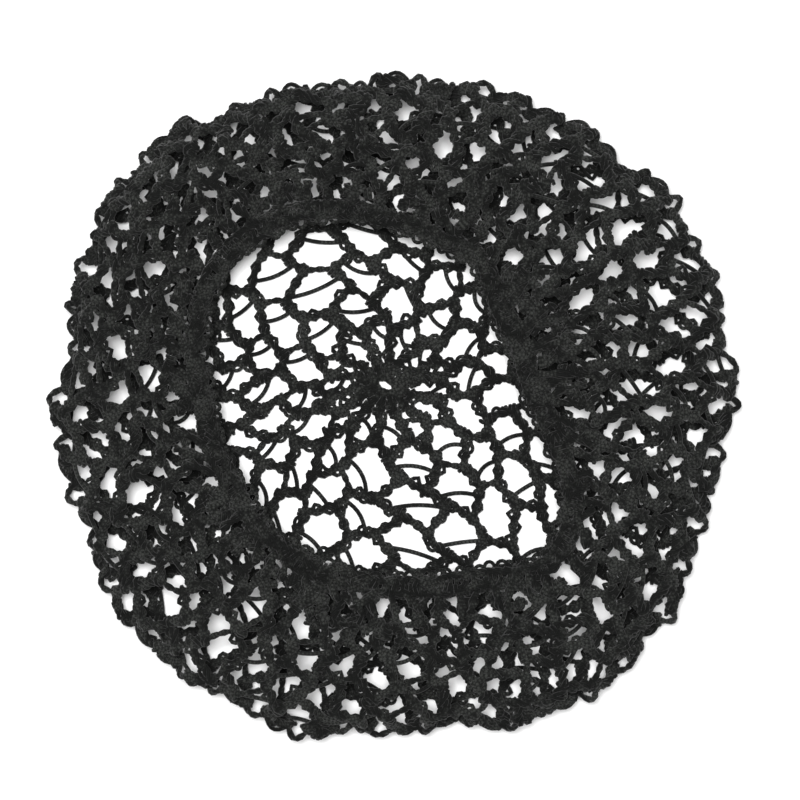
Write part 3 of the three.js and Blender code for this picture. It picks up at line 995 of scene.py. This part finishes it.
@dataclass(frozen=True)
class CordFinish:
    """The look of one lot of rayon cord."""

    name: str
    dark: tuple[float, float, float]
    light: tuple[float, float, float]
    roughness: float = 0.75
    specular: float = 0.12
    sheen: float = 0.09
    sheen_roughness: float = 0.5
    braid_pitch: float = 1.5
    braid_depth: float = 0.00005

    def material(self, braid: bpy.types.NodeTree, groove_shade_and_mottle: bpy.types.NodeTree) -> bpy.types.Material:
        """Makes the material: braided relief on the cord's own UV map, and uneven black dye with
        painted shade in the braid's grooves.

        Args:
            braid: The braid node group.
            groove_shade_and_mottle: The node group of uneven colour with painted groove shade.

        Returns:
            The material.
        """
        material = bpy.data.materials.new(self.name)
        material.use_nodes = True
        nodes, links = material.node_tree.nodes, material.node_tree.links
        shader = nodes["Principled BSDF"]
        shader.inputs["Roughness"].default_value = self.roughness
        shader.inputs["Specular IOR Level"].default_value = self.specular
        shader.inputs["Sheen Weight"].default_value = self.sheen
        shader.inputs["Sheen Roughness"].default_value = self.sheen_roughness
        along_cord = nodes.new("ShaderNodeUVMap")
        along_cord.uv_map = CORD_UV
        relief = nodes.new("ShaderNodeGroup")
        relief.node_tree = braid
        relief.inputs["Pitch"].default_value = self.braid_pitch
        colour = nodes.new("ShaderNodeGroup")
        colour.node_tree = groove_shade_and_mottle
        colour.inputs["Dark"].default_value = (*self.dark, 1)
        colour.inputs["Light"].default_value = (*self.light, 1)
        bump = nodes.new("ShaderNodeBump")
        bump.inputs["Distance"].default_value = self.braid_depth
        links.new(along_cord.outputs["UV"], relief.inputs["Cord"])
        # The braid's ridge also sets the colour, so its grooves get painted shade
        links.new(relief.outputs["Ridge"], colour.inputs["Ridge"])
        links.new(colour.outputs["Color"], shader.inputs["Base Color"])
        links.new(relief.outputs["Ridge"], bump.inputs["Height"])
        links.new(bump.outputs["Normal"], shader.inputs["Normal"])
        return material


def add_math(tree: bpy.types.NodeTree, operation: str, *values: object) -> bpy.types.NodeSocket:
    """Adds a Math node to a group and feeds it.

    Args:
        tree: The group.
        operation: The node's operation.
        values: Sockets or numbers for its inputs.

    Returns:
        The node's output.
    """
    node = tree.nodes.new("ShaderNodeMath")
    node.operation = operation
    for socket, value in zip(node.inputs, values):
        if isinstance(value, bpy.types.NodeSocket):
            tree.links.new(value, socket)
        else:
            socket.default_value = value
    return node.outputs[0]


def new_group(
    name: str, takes: dict[str, str], gives: dict[str, str]
) -> tuple[bpy.types.NodeTree, bpy.types.Node, bpy.types.Node]:
    """Starts a shader node group.

    Args:
        name: The group's name.
        takes: Its inputs' names and kinds.
        gives: Its outputs' names and kinds.

    Returns:
        The group, its input node and its output node.
    """
    tree = bpy.data.node_groups.new(name, "ShaderNodeTree")
    for in_out, sockets in (("INPUT", takes), ("OUTPUT", gives)):
        for socket, kind in sockets.items():
            tree.interface.new_socket(socket, in_out=in_out, socket_type="NodeSocket" + kind)
    return tree, tree.nodes.new("NodeGroupInput"), tree.nodes.new("NodeGroupOutput")


def braid_group() -> bpy.types.NodeTree:
    """Node group of a round braid: |sin(2u + v/p)| * |sin(2u - v/p)| in turns, 1 on the ridges.

    Returns:
        The group, with Cord and Pitch in and Ridge out.
    """
    takes = {"Cord": "Vector", "Pitch": "Float"}
    tree, given, result = new_group("Cord braid", takes, {"Ridge": "Float"})
    parts = tree.nodes.new("ShaderNodeSeparateXYZ")
    tree.links.new(given.outputs["Cord"], parts.inputs[0])
    around = add_math(tree, "MULTIPLY", parts.outputs["X"], FULL_TURN)
    pitches = add_math(tree, "DIVIDE", parts.outputs["Y"], given.outputs["Pitch"])
    onward = add_math(tree, "MULTIPLY", pitches, math.pi)
    waves = []
    for lean in ("ADD", "SUBTRACT"):
        wave = add_math(tree, "SINE", add_math(tree, lean, around, onward))
        waves.append(add_math(tree, "ABSOLUTE", wave))
    tree.links.new(add_math(tree, "MULTIPLY", *waves), result.inputs["Ridge"])
    return tree


def groove_shade_and_mottle_group() -> bpy.types.NodeTree:
    """Node group of uneven black: from dark to light by a fine and a slow noise, with painted shade in
    the braid's grooves, where the ridge is low.

    The share of the light colour is (0.5 + gain * (fine + slow - 1)) * ridge, held between 0 and 1:
    the noise is the dye's random tone, and the ridge factor is painted shade.

    Returns:
        The group, with Dark, Light and Ridge in and Color out.
    """
    takes = {"Dark": "Color", "Light": "Color", "Ridge": "Float"}
    tree, given, result = new_group("Uneven black with painted groove shade", takes, {"Color": "Color"})
    place = tree.nodes.new("ShaderNodeTexCoord")
    patches = []
    for scale, detail in MOTTLE_NOISES:
        noise = tree.nodes.new("ShaderNodeTexNoise")
        noise.inputs["Scale"].default_value = scale
        noise.inputs["Detail"].default_value = detail
        tree.links.new(place.outputs["Object"], noise.inputs["Vector"])
        patches.append(noise.outputs["Fac"])
    both = add_math(tree, "ADD", *patches)
    patchy = add_math(tree, "MULTIPLY_ADD", both, MOTTLE_GAIN, 0.5 - MOTTLE_GAIN)
    # Painted shade: the colour goes dark in the braid's grooves, where the ridge is low
    groove_shaded_mix = add_math(tree, "MULTIPLY", patchy, given.outputs["Ridge"])
    blend = tree.nodes.new("ShaderNodeMix")
    blend.data_type = "RGBA"
    tree.links.new(groove_shaded_mix, blend.inputs["Factor"])
    tree.links.new(given.outputs["Dark"], blend.inputs["A"])
    tree.links.new(given.outputs["Light"], blend.inputs["B"])
    tree.links.new(blend.outputs["Result"], result.inputs["Color"])
    return tree


@dataclass(frozen=True)
class NetPanel:
    """Some rounds of the net, as one piece."""

    name: str
    part: Part
    first_round: int
    last_round: int
    seed: int
    barred_cells: float = 0.6
    edge_round: int = -1
    edge_bows: float = 0.55
    edge_bow: tuple[float, float] = (1.4, 3.4)
    edge_knobs: float = 0.6
    edge_knobs_at: float = 0.7
    edge_knob_turns: float = 1.6
    edge_knob_size: float = 1.3
    tucked: tuple[float, float] = (math.radians(88), math.radians(178))
    tucked_rounds: tuple[int, int] = (8, 10)
    matted: bool = False
    matted_lift: tuple[float, float] = (-1.0, 1.6)
    head_wraps: float = 2.0
    head_wraps_at: float = 0.92
    foot_wraps: float = 1.4
    foot_wraps_at: float = 0.04
    foot_wraps_lean: float = -0.4
    looped_posts: float = 0.6
    looped_arms: float = 0.35
    thin_links: float = 0.6

    def build(self, crochet: Crochet) -> bpy.types.Object:
        """Works the rounds' cells in cord.

        Args:
            crochet: The work to do it with.

        Returns:
            The piece.
        """
        work = crochet.begin(self.seed)
        posts, leaning, links, bars = (
            work.lace.runs[kind].of_rounds(self.first_round, self.last_round) for kind in Strand
        )
        on_edge = links.round_number == self.edge_round
        self._edge(work, leaning, links.pick(on_edge))
        thin, roped = work.some(links.pick(~on_edge), self.thin_links)
        barred, _ = work.some(bars, self.barred_cells)
        for runs in (posts, leaning, roped):
            work.arm(runs)
        work.link(thin)
        work.bar(barred)
        work.link(self._in_tuck(bars, work.lace.surface))
        work.wrap(posts, self.head_wraps_at, self.head_wraps)
        work.wrap(posts, self.foot_wraps_at, self.foot_wraps, self.foot_wraps_lean)
        for runs, share in ((posts, self.looped_posts), (leaning, self.looped_arms)):
            looped, _ = work.some(runs, share)
            work.loop(looped)
        if self.matted:
            self._mat(work)
        return work.hand_over(self.name, self.part.value, "net_cord")

    def _edge(self, work: Crochet, leaning: Runs, links: Runs) -> None:
        """Works the net's outline: single cords bowed out from knot to knot, and knobs on arms.

        Args:
            work: The panel's work.
            leaning: The panel's leaning arms.
            links: The links on the outline, which are thin and bowed.
        """
        middle = np.array([*work.lace.surface.middle, 0.0])
        arms = leaning.of_rounds(self.edge_round, self.edge_round)
        bowed, _ = work.some(arms, self.edge_bows)
        knobbed, _ = work.some(arms, self.edge_knobs)
        several = []
        for runs in (links, bowed):
            away = unit((runs.middle - middle) * [1, 1, 0])
            bow = away * work.rng.uniform(*self.edge_bow, (runs.count, 1))
            several.append(replace(runs, middle=runs.middle + bow))
        work.link(several[0])
        work.bar(several[1])
        work.wrap(knobbed, self.edge_knobs_at, self.edge_knob_turns, 0.0, self.edge_knob_size)

    def _in_tuck(self, bars: Runs, surface: NetSurface) -> Runs:
        """The bars in the tucked quarter of the upper net, where all cells are split.

        Args:
            bars: The panel's bars.
            surface: The net's surface, for where the outline's middle is.

        Returns:
            The bars that lie there.
        """
        from_middle = bars.middle[:, :2] - surface.outline_middle
        azimuth = np.arctan2(from_middle[:, 1], from_middle[:, 0])
        inside = (azimuth > self.tucked[0]) & (azimuth < self.tucked[1])
        return bars.pick(inside).of_rounds(*self.tucked_rounds)

    def _mat(self, work: Crochet) -> None:
        """Knots scattered over the matted patches near the mouth.

        Args:
            work: The panel's work.
        """
        surface = work.lace.surface
        patch = np.repeat(MATTED, MATTED["knots"].astype(int))
        azimuth = patch["azimuth"] + patch["spread"] * work.rng.uniform(-1, 1, len(patch))
        azimuth = np.radians(azimuth)
        along = patch["along"] + patch["length"] * work.rng.uniform(-1, 1, len(patch))
        out = surface.outward(azimuth, along)
        lift = work.rng.uniform(*self.matted_lift, (len(patch), 1))
        place = surface.point(azimuth, along) + out * lift
        work.knots(place, out, unit(np.cross(UP, out)))


@dataclass(frozen=True)
class CrownRing:
    """The starting ring: a wrapped foundation ring, and arms that radiate from it."""

    ring_reach: float = 3.5
    ring_stretch: float = 1.25
    ring_turn: float = math.radians(-28)
    ring_turns: int = 24
    outer_reach: float = 7.2
    outer_stretch: float = 1.04
    outer_turns: int = 30
    coil_steps: int = 8
    coil_reach: float = 0.95
    coil_spread: tuple[float, float] = (0.8, 1.2)
    height: float = 2.1
    arms_from: float = 3.4
    arms_to: float = 11.5
    arms_rise: float = 0.5
    arms_turns: float = 1.1
    arms_start_size: float = 0.4
    arms_growth: float = 0.75
    seed: int = 21

    def build(self, crochet: Crochet) -> bpy.types.Object:
        """Wraps two rings and twists a tapered rope out to each of the net's arms.

        Args:
            crochet: The work to do it with.

        Returns:
            The piece.
        """
        work = crochet.begin(self.seed)
        self._coil(work, self.ring_reach, self.ring_stretch, self.ring_turns)
        self._coil(work, self.outer_reach, self.outer_stretch, self.outer_turns)
        feet = work.lace.seams[0]
        middle = np.array([*work.lace.surface.middle, 0.0])
        spoke = unit((feet.point - middle) * [1, 1, 0])
        lift = UP * self.height
        start = middle + spoke * self.arms_from + lift
        end = middle + spoke * self.arms_to + lift
        outward = np.tile(UP, (len(start), 1))
        arms = Runs(start, (start + end) / 2 + UP * self.arms_rise, end, outward, feet.post)
        share = np.linspace(0, 1, work.rope_steps)[None]
        turn = work.rng.uniform(0, FULL_TURN, (arms.count, 1)) + FULL_TURN * self.arms_turns * share
        taper = self.arms_start_size + self.arms_growth * share
        work.rope(arms.path(work.rope_steps), UP, turn, taper)
        return work.hand_over("crown_ring_cord", "crown_ring", "ring_cord")

    def _oval(self, share: Array, surface: NetSurface, reach: float, stretch: float) -> Array:
        """Points round an oval: reach * (s cos, sin / s), turned.

        Args:
            share: Shares of the way round.
            surface: The net's surface, for where the crown's middle is.
            reach: The oval's middling radius.
            stretch: How much longer it is than a circle.

        Returns:
            Points of the oval.
        """
        angle = share * FULL_TURN
        x = reach * stretch * np.cos(angle)
        y = reach / stretch * np.sin(angle)
        c, s = math.cos(self.ring_turn), math.sin(self.ring_turn)
        across = surface.middle[0] + x * c - y * s
        away = surface.middle[1] + x * s + y * c
        return np.stack([across, away, np.full(share.shape, self.height)], axis=-1)

    def _coil(self, work: Crochet, reach: float, stretch: float, turns: int) -> None:
        """An uneven coil round an oval: side * r cos(p) and up * r sin(p).

        Args:
            work: The ring's work.
            reach: The oval's middling radius.
            stretch: How much longer it is than a circle.
            turns: Turns of the coil.
        """
        share = np.linspace(0, 1, turns * self.coil_steps + 1)[None]
        line = self._oval(share, work.lace.surface, reach, stretch)
        heading = unit(np.gradient(line, axis=1))
        wide = self.coil_reach * wander(share, turns, self.coil_spread, work.rng)
        coil = round_section(np.cross(heading, UP), wide, wide, FULL_TURN * turns * share)
        work.skein.wind(line + coil, heading, work.cord)


@dataclass(frozen=True)
class RimBand:
    """The rim: crochet worked tightly over the elastic, with ropes of stitches along it."""

    width: float = 8.0
    tall: float = 8.0
    girth: float = 460.0
    # Depth, number and phase of the waves in the band's width
    waves: tuple[tuple[float, float, float], ...] = ((0.07, 9, 1), (0.06, 23, 0))
    coil_turns: int = 230
    coil_steps: int = 8
    coil_size: float = 0.82
    coil_spread: tuple[float, float] = (0.8, 1.15)
    coil_slip: tuple[float, float] = (-1.0, 1.0)
    rope_angles: tuple[float, ...] = (45, 130)
    rope_sway: tuple[float, float] = (-1.0, 1.0)
    rope_sway_angle: float = 40.0
    rope_sway_turn: float = 2.0
    rope_sway_every: float = 9.0
    rope_size: float = 0.8
    rope_spread: tuple[float, float] = (0.7, 1.2)
    rope_steps_per_mm: float = 0.75
    knots: int = 400
    knot_jitter: float = 0.5
    knot_angles: tuple[float, float] = (-20.0, 200.0)
    picots: int = 124
    picot_jitter: float = 0.35
    picot_steps: int = 8
    picot_inset: float = 0.6
    picot_lift: tuple[float, float] = (-1.5, 2.5)
    picot_reach: float = 2.3
    picot_spread: tuple[float, float] = (0.6, 1.3)
    picot_half: tuple[float, float] = (1.5, 2.3)
    picot_tilt: tuple[float, float] = (-0.8, 0.8)
    tails: int = 72
    tail_jitter: float = 0.4
    tail_steps: int = 6
    tail_start: float = 1.5
    tail_lift: tuple[float, float] = (0.5, 2.5)
    tail_reach: tuple[float, float] = (4.5, 12.0)
    tail_slant: float = 0.11
    tail_end_lift: float = 1.2
    tail_bow: tuple[float, float] = (0.0, 1.2)
    tail_turns: float = 0.9
    tail_spread: tuple[float, float] = (0.75, 1.1)
    # Width of the band up to which it has no tails, and how soon all are there past that
    tailless: float = 0.74
    tail_onset: float = 4.0
    seed: int = 33

    def build(self, crochet: Crochet) -> list[bpy.types.Object]:
        """Works the band: a coil with its edges, and ropes of stitches along it.

        Args:
            crochet: The work to do it with.

        Returns:
            The pieces.
        """
        edging = crochet.begin(self.seed)
        self._coil(edging)
        self._picots(edging)
        self._tails(edging)
        ropes = replace(edging, skein=Skein())
        for angle in self.rope_angles:
            self._rope(ropes, angle)
        self._knots(ropes)
        return [
            edging.hand_over("rim_edging", "rim_band", "rim_cord"),
            ropes.hand_over("rim_ropes", "rim_band", "rim_cord"),
        ]

    def _course(self, work: Crochet, azimuth: Array) -> tuple[Array, Array, Array]:
        """The band's middle line with its side and heading directions.

        Args:
            work: The band's work.
            azimuth: Azimuths round the mouth.

        Returns:
            Points, sideways directions away from the mouth, and headings.
        """
        surface = work.lace.surface
        section = surface.section(azimuth)
        reach = section[..., 1] + self.width / 2
        x = surface.outline_middle[0] + reach * np.cos(azimuth)
        y = surface.outline_middle[1] + reach * np.sin(azimuth)
        line = np.stack([x, y, section[..., 3]], axis=-1)
        heading = unit(np.gradient(line, axis=-2))
        return line, unit(np.cross(heading, UP)), heading

    def _upon(self, work: Crochet, azimuth: Array, around: Array) -> tuple[Array, Array, Array]:
        """Places upon the band, where its ropes and knots lie.

        Args:
            work: The band's work.
            azimuth: Azimuths round the mouth.
            around: Angles round the band's section, from the outer side over the top.

        Returns:
            The places, directions off the band there, and headings.
        """
        line, side, heading = self._course(work, azimuth)
        wide = self._fullness(azimuth) * self.rope_size * self.width / 2
        high = self.rope_size * self.tall / 2
        place = line + round_section(side, wide, high, around)
        return place, round_section(side, 1.0, 1.0, around), heading

    def _spaced(self, work: Crochet, count: int, jitter: float) -> Array:
        """Azimuths evenly spaced round the mouth, each moved by chance by a share of the space."""
        return (np.arange(count) + work.rng.uniform(-jitter, jitter, count)) / count * FULL_TURN

    def _fullness(self, azimuth: Array) -> Array:
        """How wide the band is against the usual: by the crowding table, and uneven all round."""
        waves = sum(depth * np.sin(count * azimuth + phase) for depth, count, phase in self.waves)
        return np.interp(azimuth, np.radians(CROWDING["azimuth"]), CROWDING["rim"]) + waves

    def _coil(self, work: Crochet) -> None:
        """One uneven coil all round the band: side * w cos(p) and up * h sin(p).

        Args:
            work: The band's work.
        """
        share = np.linspace(0, 1, self.coil_turns * self.coil_steps + 1)[None]
        azimuth = FULL_TURN * share
        line, side, heading = self._course(work, azimuth)
        knots = self.coil_turns * 2
        slow = wander(share, knots, self.coil_spread, work.rng)
        slip = wander(share, knots, self.coil_slip, work.rng)
        wide = self.coil_size * self.width / 2 * self._fullness(azimuth) * slow
        high = self.coil_size * self.tall / 2 * slow
        coil = line + round_section(side, wide, high, FULL_TURN * self.coil_turns * share)
        work.skein.wind(coil + heading * slip[..., None], heading, work.cord)

    def _picots(self, work: Crochet) -> None:
        """Small loops along the band's inner edge: inward * r sin(p), onward * l cos(p).

        Args:
            work: The band's work.
        """
        rng = work.rng
        each = (self.picots, 1, 1)
        azimuth = self._spaced(work, self.picots, self.picot_jitter)
        line, side, heading = self._course(work, azimuth)
        p = np.linspace(0, math.pi, self.picot_steps)[None, :, None]
        half_width = (self.width / 2 - self.picot_inset) * self._fullness(azimuth)[:, None]
        inner = line - side * half_width + UP * rng.uniform(*self.picot_lift, (self.picots, 1))
        reach = self.picot_reach * rng.uniform(*self.picot_spread, each)
        half = rng.uniform(*self.picot_half, each)
        loops = inner[:, None] - side[:, None] * reach * np.sin(p)
        loops = loops - heading[:, None] * half * np.cos(p)
        loops = loops + UP * rng.uniform(*self.picot_tilt, each) * np.sin(p)
        work.skein.wind(loops, UP, work.loop_cord)

    def _tails(self, work: Crochet) -> None:
        """Short ropes from the band out over the gathered net, so that it runs into the net.

        Args:
            work: The band's work.
        """
        rng = work.rng
        surface = work.lace.surface
        azimuth = self._spaced(work, self.tails, self.tail_jitter)
        chance = np.clip((self._fullness(azimuth) - self.tailless) * self.tail_onset, 0, 1)
        azimuth = azimuth[rng.uniform(0, 1, self.tails) < chance]
        count = len(azimuth)
        line, side, _ = self._course(work, azimuth)
        start = line + side * self.tail_start + UP * rng.uniform(*self.tail_lift, (count, 1))
        out = rng.uniform(*self.tail_reach, count)
        slant = rng.uniform(-self.tail_slant, self.tail_slant, count)
        end = surface.point(azimuth + slant, surface.mouth_line - out) + UP * self.tail_end_lift
        middle = (start + end) / 2 + UP * rng.uniform(*self.tail_bow, (count, 1))
        runs = Runs(start, middle, end, np.tile(UP, (count, 1)), np.zeros(count, dtype=int))
        share = np.linspace(0, 1, self.tail_steps)[None]
        turn = rng.uniform(0, FULL_TURN, (count, 1)) + FULL_TURN * self.tail_turns * share
        full = rng.uniform(*self.tail_spread, (count, 1))
        work.rope(runs.path(self.tail_steps), UP, turn, full)

    def _rope(self, work: Crochet, angle: float) -> None:
        """A rope along the band, at a wandering angle round its section.

        Args:
            work: The band's work.
            angle: Where the rope lies, in degrees from the outer side over the top.
        """
        share = np.linspace(0, 1, int(self.girth * self.rope_steps_per_mm))[None]
        knots = int(self.girth / self.rope_sway_every)
        sway = wander(share, knots, self.rope_sway, work.rng)
        around = np.radians(angle + self.rope_sway_angle * sway)
        middle, off, _ = self._upon(work, FULL_TURN * share, around)
        turns = self.girth / work.rope_turn
        turn = work.rng.uniform(0, FULL_TURN) + FULL_TURN * turns * share
        turn = turn + self.rope_sway_turn * sway
        work.rope(middle, off, turn, wander(share, knots, self.rope_spread, work.rng))

    def _knots(self, work: Crochet) -> None:
        """Short coils all over the band's upper side, each turned its own way.

        Args:
            work: The band's work.
        """
        azimuth = self._spaced(work, self.knots, self.knot_jitter)
        around = np.radians(work.rng.uniform(*self.knot_angles, self.knots))
        work.knots(*self._upon(work, azimuth, around))


@dataclass(frozen=True)
class Studio:
    """The floor, the soft light and the camera straight above.

    The floor, the lamp and the clip distances are in metres, and the other lengths in millimetres.
    """

    view_width: float = 304.8
    view_middle: tuple[float, float] = (2.1, 1.6)
    view_height: float = 13.0
    camera_distance: float = 1300.0
    sensor: float = 36.0
    clip: tuple[float, float] = (0.01, 20.0)
    floor_size: float = 6.0
    floor_white: float = 0.9
    floor_roughness: float = 0.9
    floor_specular: float = 0.1
    sky_strength: float = 0.15
    key_power: float = 50.0
    key_size: float = 0.5
    key_place: tuple[float, float, float] = (-0.09, 0.12, 1.9)

    def floor(self) -> None:
        """A plain white floor that the net lies on."""
        half = self.floor_size / 2
        corners = [(-half, -half, 0), (half, -half, 0), (half, half, 0), (-half, half, 0)]
        mesh = bpy.data.meshes.new("floor")
        mesh.from_pydata(corners, [], [(0, 1, 2, 3)])
        floor = new_object("floor", mesh)
        white = bpy.data.materials.new("floor white")
        white.use_nodes = True
        shader = white.node_tree.nodes["Principled BSDF"]
        shader.inputs["Base Color"].default_value = (self.floor_white,) * 3 + (1,)
        shader.inputs["Roughness"].default_value = self.floor_roughness
        shader.inputs["Specular IOR Level"].default_value = self.floor_specular
        mesh.materials.append(white)

    def lights(self) -> None:
        """An even white sky and one large soft lamp overhead."""
        world = bpy.data.worlds.new("soft sky")
        world.use_nodes = True
        sky = world.node_tree.nodes["Background"]
        sky.inputs["Color"].default_value = (1, 1, 1, 1)
        sky.inputs["Strength"].default_value = self.sky_strength
        bpy.context.scene.world = world
        lamp = bpy.data.lights.new("overhead softbox", "AREA")
        lamp.shape = "SQUARE"
        lamp.size = self.key_size
        lamp.energy = self.key_power
        softbox = new_object("overhead softbox", lamp)
        softbox.location = self.key_place
        x, y, z = self.key_place
        softbox.rotation_euler = (math.atan2(math.hypot(x, y), z), 0, math.atan2(x, -y))

    def camera(self) -> None:
        """A camera straight above, framed as the photograph is."""
        lens = bpy.data.cameras.new("camera")
        lens.sensor_width = self.sensor
        lens.lens = self.sensor * self.camera_distance / self.view_width
        lens.clip_start, lens.clip_end = self.clip
        camera = new_object("camera", lens)
        x, y = self.view_middle
        camera.location = (x * MM, y * MM, (self.camera_distance + self.view_height) * MM)
        bpy.context.scene.camera = camera

    def set_up(self) -> None:
        """Makes the floor, the lights and the camera, and shows colours as they are."""
        self.floor()
        self.lights()
        self.camera()
        bpy.context.scene.view_settings.view_transform = "Standard"


FINISHES = {
    "net_cord": CordFinish("net cord", dark=(0.0032, 0.0035, 0.0032), light=(0.031, 0.0328, 0.0302)),
    "ring_cord": CordFinish("ring cord", dark=(0.0032, 0.0035, 0.0032), light=(0.029, 0.0307, 0.0282)),
    "rim_cord": CordFinish("rim cord", dark=(0.0028, 0.0031, 0.0028), light=(0.028, 0.0296, 0.0272)),
}

PANELS = (
    NetPanel("crown_net_cord", Part.CROWN, 0, 3, 41, barred_cells=0.85),
    NetPanel("lower_net_cord", Part.LOWER, 4, 5, 42, barred_cells=0.75),
    NetPanel("side_net_cord", Part.SIDE, 6, 7, 43, edge_round=7),
    NetPanel("upper_net_cord", Part.UPPER, 8, 9, 44),
    NetPanel("gathered_net_cord_outer", Part.GATHERED, 10, 10, 45),
    NetPanel("gathered_net_cord_inner", Part.GATHERED, 11, 12, 46, matted=True),
)


def main() -> None:
    """Builds the stage and every sub-assembly, in the order in which the net is worked."""
    logging.basicConfig(level=logging.INFO, format="%(name)s: %(message)s")
    Studio().set_up()
    braid = braid_group()
    groove_shade_and_mottle = groove_shade_and_mottle_group()
    materials = {slot: finish.material(braid, groove_shade_and_mottle) for slot, finish in FINISHES.items()}
    crochet = Crochet(Lace(net_surface()), materials)
    CrownRing().build(crochet)
    for panel in PANELS:
        panel.build(crochet)
    RimBand().build(crochet)


if __name__ == "__main__":
    main()
